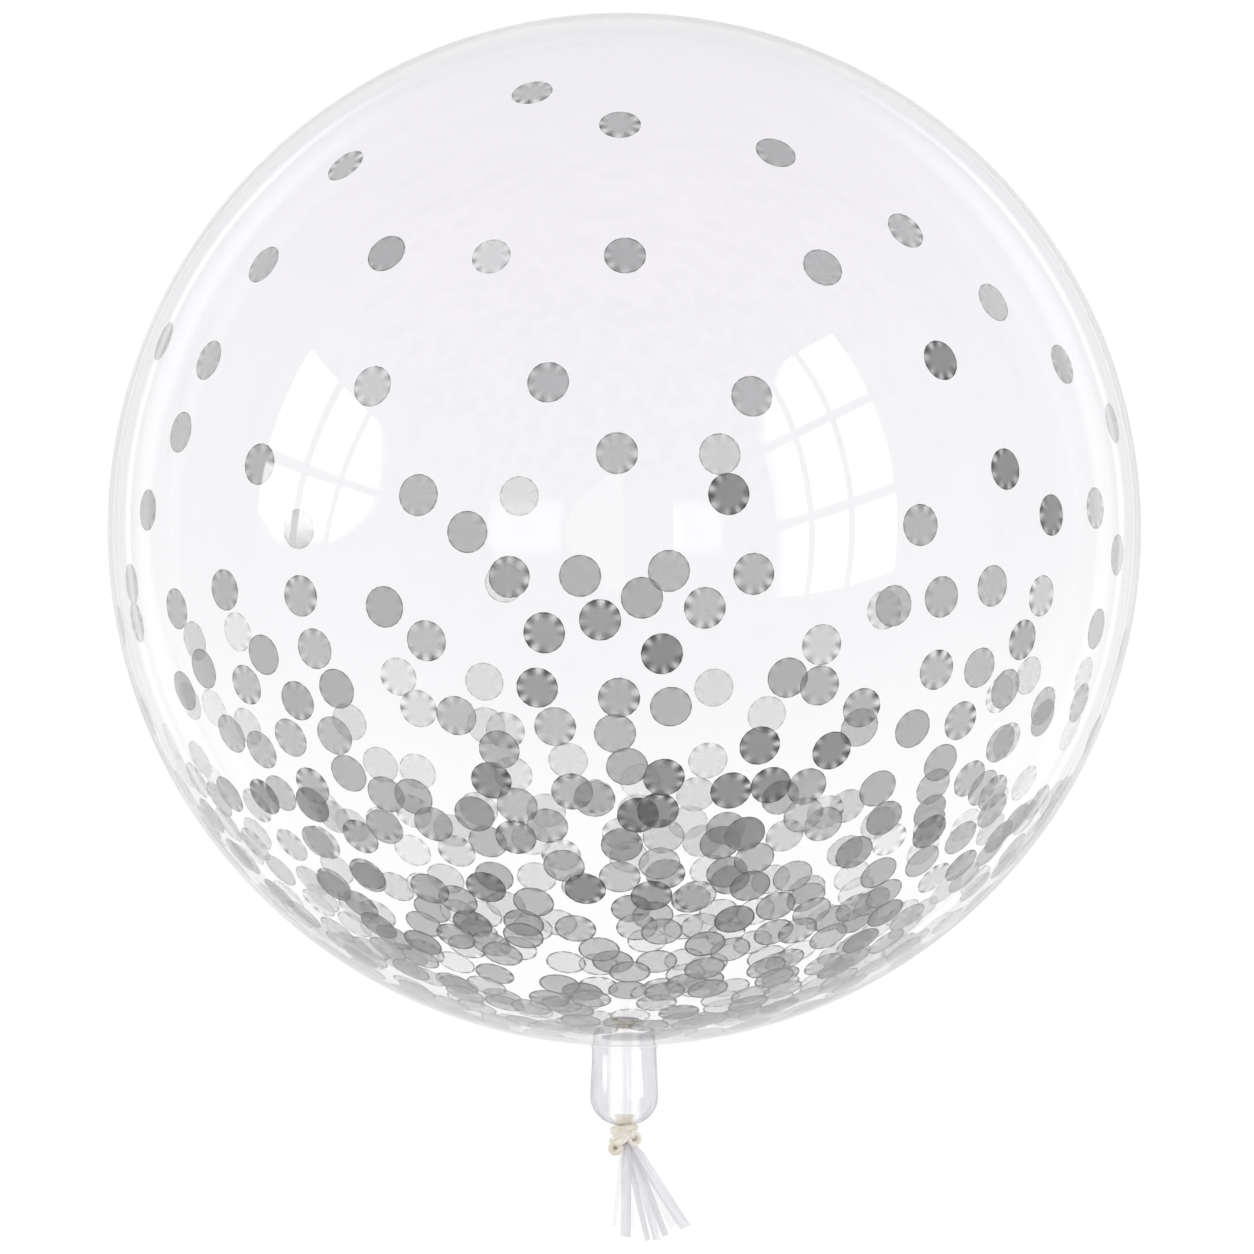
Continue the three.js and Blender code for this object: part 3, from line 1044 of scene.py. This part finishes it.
# %% [markdown]
# ## The tassel: one flat strip
#
# Behind the knot the film is cut into narrow strips. All are alike: flat, with parallel edges, crumpled
# narrow where the band holds them. So the strip is modelled once, flat along X: a grid, with the rows near
# the root squeezed to less than the throat's width.

# %% One flat strip
STRIP_WIDTH = 4.9 * MM
STRIP_ROOT_WIDTH = 2.8 * MM
STRIP_WALL = 0.1 * MM
STRIP_BEND = 2 * MM
STRIP_FLARE_END = 11 * MM
LONGEST_STRIP = 52 * MM
STRIP_ROWS = 52


def smooth_share(value, start, end):
    share = min(max((value - start) / (end - start), 0.0), 1.0)
    return share * share * (3 - 2 * share)


deselect_all()
bpy.ops.mesh.primitive_grid_add(
    x_subdivisions=STRIP_ROWS, y_subdivisions=6, size=1, location=(LONGEST_STRIP / 2, 0, 0)
)
flat_strip = named("flat_strip")
flat_strip.scale = (LONGEST_STRIP, STRIP_WIDTH, 1)
bpy.ops.object.transform_apply(location=True, rotation=True, scale=True)
edit(flat_strip)
for row in range(STRIP_ROWS + 1):
    run = LONGEST_STRIP * row / STRIP_ROWS
    if run > STRIP_FLARE_END:
        break
    share = smooth_share(run, STRIP_BEND, STRIP_FLARE_END)
    width = STRIP_ROOT_WIDTH + (STRIP_WIDTH - STRIP_ROOT_WIDTH) * share
    choose("VERT", lambda corner: abs(corner.co.x - run) < TINY)
    bpy.ops.transform.resize(value=(1, width / STRIP_WIDTH, 1), center_override=(run, 0, 0))
leave_edit()
strip_map = flat_strip.data.uv_layers.new(name="strip_map")
for loop in flat_strip.data.loops:
    corner = flat_strip.data.vertices[loop.vertex_index].co
    strip_map.data[loop.index].uv = (corner.x / LONGEST_STRIP, corner.y / STRIP_WIDTH + 0.5)
print("strip faces:", len(flat_strip.data.polygons))

# %% [markdown]
# ## The tassel: eight strips
#
# Each strip is a copy cut to its own length and width and bent along its own curve by a Curve modifier. The
# curve leaves the knot straight, turns to the strip's direction in the fan and droops at the free end. The
# tilt of its points rolls the strip about its own length.

# %% Bend the strips
STRIP_SAG = 4 * MM
STRIP_LIFT = math.radians(7)
LAYER_PITCH = 0.65 * MM
CURVE_POINTS = 14

# From left to right: fan in degrees from -Y; length, width and root place across in mm; roll in degrees;
# place counted down the bundle; how much of the white behind it the strip covers.
STRIPS = [
    (-6.5, 43.5, 2.2, -0.4, -30, 7, 0.14), (-0.6, 47, 4.9, 1.1, 4, 1, 0.55), (5, 44, 2.6, 0.2, 12, 6, 0.12),
    (13, 50.5, 2.9, 0.3, 20, 4, 0.5), (15.6, 50.5, 3.5, 2.6, -14, 2, 0.5), (21, 50.5, 3.3, 2.4, 18, 5, 0.52),
    (27, 47, 4.4, 2.8, 15, 3, 0.16), (32.6, 50, 5.2, 3.0, -6, 0, 0.55),
]
MIDDLE_LAYER = (len(STRIPS) - 1) / 2


def strip_point(fan, length, root, layer, run):
    """The middle of a strip at a distance from its root."""
    bent = min(run / STRIP_BEND, 1)
    past = run - STRIP_BEND * bent * (1 - bent / 2)
    aside = root + past * math.sin(fan)
    back = THROAT_END + 0.3 * MM - past * (1 - math.cos(fan)) + run
    rise = (MIDDLE_LAYER - layer) * LAYER_PITCH
    rise += math.tan(STRIP_LIFT * (1 - layer / MIDDLE_LAYER)) * past - STRIP_SAG * (run / length) ** 2
    return Vector((aside, -back, CENTRE.z + rise))


def strip_path(fan, length, root, roll, layer):
    """The curve that a strip is bent along."""
    deselect_all()
    bpy.ops.curve.primitive_bezier_curve_add()
    path = bpy.context.object
    path.location = (0, 0, 0)
    path.data.dimensions = "3D"
    path.data.twist_mode = "Z_UP"
    path.data.resolution_u = 12
    spline = path.data.splines[0]
    spline.bezier_points.add(CURVE_POINTS - 2)
    for i, corner in enumerate(spline.bezier_points):
        run = length * i / (CURVE_POINTS - 1)
        corner.co = strip_point(fan, length, root, layer, run)
        corner.handle_left_type = corner.handle_right_type = "AUTO"
        corner.tilt = roll * smooth_share(run, STRIP_FLARE_END, length)
    return path


strips = []
for number, (fan, length, width, root, roll, layer, _) in enumerate(STRIPS, 1):
    path = strip_path(math.radians(fan), length * MM, root * MM, math.radians(roll), layer)
    strip = flat_strip.copy()
    strip.data = flat_strip.data.copy()
    bpy.context.scene.collection.objects.link(strip)
    strip.name = strip.data.name = "film_strip_%d" % number
    edit(strip)
    bpy.ops.mesh.select_all(action="SELECT")
    lean = 0.2 * math.sin(number * 2.1)
    bpy.ops.mesh.bisect(plane_co=(length * MM, 0, 0), plane_no=(1, lean, 0), clear_outer=True)
    bpy.ops.mesh.select_all(action="SELECT")
    bpy.ops.transform.resize(value=(1, width * MM / STRIP_WIDTH, 1), center_override=(0, 0, 0))
    leave_edit()
    modified(strip, "CURVE", object=path, deform_axis="POS_X")
    modified(strip, "SOLIDIFY", thickness=STRIP_WALL, offset=0.0)
    pick(strip)
    bpy.ops.object.shade_smooth_by_angle(angle=math.radians(40))
    bpy.data.objects.remove(path)
    strips.append(strip)
bpy.data.objects.remove(flat_strip)
print("strips:", len(strips))

# %% [markdown]
# ## The strips' finish
#
# The strips are the same film, but unstretched: milky lavender, glossy and see-through, with one or two
# soft creases along their length and cut edges that show as thin darker lines. They use their own flat
# map, with the length in its first direction, so the creases follow each bend. Some strips are clear and
# hardly show, so the finish is made by a function that is told how much the film covers.

# %% Milky film
def milky_film(name, cover, seed):
    """A strip's finish. Cover is its opacity away from its edges."""
    finish, board = new_finish(name)
    run_share, side_share, _ = board.parts(board.place("UV"))
    creased = board.node("ShaderNodeCombineXYZ", sockets={0: run_share * 1.2, 1: side_share * 1.3, 2: seed})
    creases = board.noise(creased, 1.6, detail=1.0)
    from_middle = (side_share - 0.5).maths("ABSOLUTE") * 2.0
    edge = board.step(from_middle, 0.82, 0.97)
    at_root = board.step(run_share, 0.02, 0.3, 1.0, 0.0)
    milk = board.step(creases, 0.4, 0.6)
    board.finish(
        Base_Color=board.mixed(milk, (0.65, 0.637, 0.672), (0.78, 0.77, 0.80)),
        Roughness=0.16,
        Alpha=(milk * 0.15 + edge * 0.4 + at_root * 0.2 + 0.9) * cover,
        Normal=board.bump(creases, 0.3 * MM, 0.4),
    )
    return finish


for number, (strip, place) in enumerate(zip(strips, STRIPS), 1):
    dress(strip, milky_film("milky_film_%d" % number, place[-1], number * 1.7))
    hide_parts("tassel_strip_%d" % number)

# %% [markdown]
# ## Light paths
#
# A line of sight crosses the film's faces many times, and stacks of thin foil besides. Blender gives up on
# a path after a dozen crossings and draws it black, so the limits are raised.

# %% Enough crossings
tracing = bpy.context.scene.cycles
tracing.max_bounces = 14
tracing.transmission_bounces = 14
tracing.transparent_max_bounces = 48
bpy.context.scene.view_settings.view_transform = "Standard"

# %% [markdown]
# ## Close
#
# The boxes of the imported model and of the finished one are printed side by side, to be compared.

# %% Sizes
bpy.context.view_layer.update()
boxes = {"cad": cad_box, "visual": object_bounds()}
for name, box in boxes.items():
    print(name, [[round(value / MM, 1) for value in corner] for corner in box])
